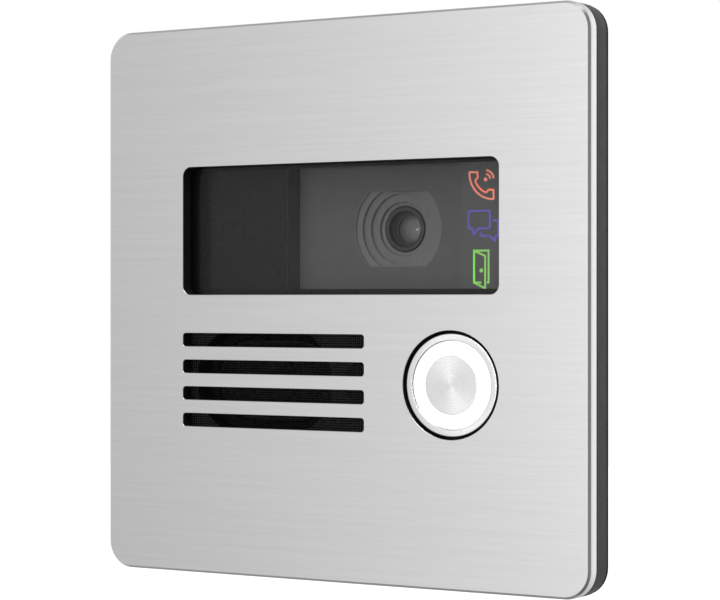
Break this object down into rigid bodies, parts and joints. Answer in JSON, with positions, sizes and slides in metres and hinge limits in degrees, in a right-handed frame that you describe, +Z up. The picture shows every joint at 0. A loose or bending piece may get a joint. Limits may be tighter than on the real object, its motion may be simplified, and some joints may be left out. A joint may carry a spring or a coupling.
{
  "type": "door intercom panel",
  "caption": "Square wall-mounted door intercom: brushed steel plate with a camera window, speaker slots and a lit call button on a black housing.",
  "frame": {"origin": "middle of the wall face, level with the back of the wall bracket", "axes": "+Z up the wall, +X to the right as a visitor sees it, +Y into the wall; the front faces -Y"},
  "size_m": [0.12, 0.0385, 0.12],
  "materials": {
    "brushed_steel": "horizontally brushed, fine satin grain",
    "button_steel": "turned and radially brushed",
    "fastener_steel": "plain stainless steel",
    "bracket_steel": "zinc-plated sheet steel",
    "black_housing": "fine textured black polycarbonate",
    "black_rubber": "matt black silicone and foam",
    "tinted_pane": "clear hard-coated pane with a smoked tint",
    "dark_bezel": "fine dark grey moulding",
    "ir_filter": "infrared-passing near-black acrylic",
    "lens_glass": "coated optical glass",
    "black_metal": "black anodised",
    "sign_film": "smoked film with three backlit signs",
    "light_guide": "opal diffusing plastic, lit from behind",
    "white_plastic": "white moulding",
    "led": "surface-mounted diode",
    "circuit_board": "green solder mask on glass laminate",
    "chip": "moulded semiconductor package",
    "heat_sink": "finned extruded aluminium",
    "acoustic_mesh": "black water-repelling woven mesh",
    "speaker_basket": "black glass-filled moulding",
    "magnet": "plated magnet and yoke",
    "cone": "thin moulded diaphragm",
    "socket_metal": "nickel-plated shield",
    "terminal_plastic": "green terminal block",
    "reset_plastic": "grey moulding",
    "vent_membrane": "white breathing membrane",
    "capacitor": "aluminium cans and a wound coil"
  },
  "bodies": {
    "panel": {"front_plate": "brushed_steel", "front_plate_nuts": "fastener_steel", "window_seal": "black_rubber", "window_pane": "tinted_pane", "camera_bezel": "dark_bezel", "bezel_screws": "fastener_steel", "ir_filter_block": "ir_filter", "ir_led_board": "circuit_board", "ir_leds": "led", "lens_barrel": "black_metal", "lens_glass": "lens_glass", "lens_holder": "black_metal", "image_sensor": "chip", "camera_board": "circuit_board", "camera_board_screws": "fastener_steel", "board_connector": "chip", "status_sign_film": "sign_film", "status_light_box": "white_plastic", "status_led_board": "circuit_board", "status_leds": "led", "speaker_mesh": "acoustic_mesh", "speaker_gasket": "black_rubber", "speaker_frame": "speaker_basket", "speaker_screws": "fastener_steel", "speaker_magnet": "magnet", "speaker_surround": "black_rubber", "microphone_boot": "black_rubber", "microphone": "magnet", "button_seal": "black_rubber", "button_guide": "black_housing", "button_guide_screws": "fastener_steel", "button_led_board": "circuit_board", "button_leds": "led", "button_switch": "chip", "front_housing": "black_housing", "housing_gasket": "black_rubber", "rear_cover": "black_housing", "pressure_vent": "vent_membrane", "rear_cover_screws": "fastener_steel", "main_board": "circuit_board", "main_board_screws": "fastener_steel", "processor": "chip", "heat_sink": "heat_sink", "board_capacitors": "capacitor", "network_socket": "socket_metal", "terminal_blocks": "terminal_plastic", "terminal_screws": "fastener_steel", "reset_switch": "chip", "wall_bracket": "bracket_steel", "security_screws": "fastener_steel", "wall_seal": "black_rubber"},
    "call_button": {"button_bezel_ring": "button_steel", "button_light_ring": "light_guide", "button_disc": "button_steel", "button_carrier": "black_housing"},
    "switch_plunger": {"switch_plunger": "reset_plastic"},
    "speaker_cone": {"speaker_cone": "cone"},
    "reset_button": {"reset_button": "reset_plastic"}
  },
  "joints": [
    {"name": "call_button_press", "type": "slide", "parent": "panel", "child": "call_button", "axis": [0, 1, 0], "range_m": [0, 0.001], "stiffness_N_per_m": 2500, "deforming": ["button_seal"]},
    {"name": "switch_plunger_press", "type": "slide", "parent": "panel", "child": "switch_plunger", "axis": [0, 1, 0], "range_m": [0, 0.001]},
    {"name": "speaker_cone_stroke", "type": "slide", "parent": "panel", "child": "speaker_cone", "axis": [0, 1, 0], "range_m": [-0.0005, 0.0005], "stiffness_N_per_m": 1500, "deforming": ["speaker_surround"]},
    {"name": "reset_button_press", "type": "slide", "parent": "panel", "child": "reset_button", "axis": [0, 0, 1], "range_m": [0, 0.0003], "stiffness_N_per_m": 1500}
  ],
  "couplings": [
    {"joint": "switch_plunger_press", "follows": "call_button_press", "ratio": 1}
  ]
}
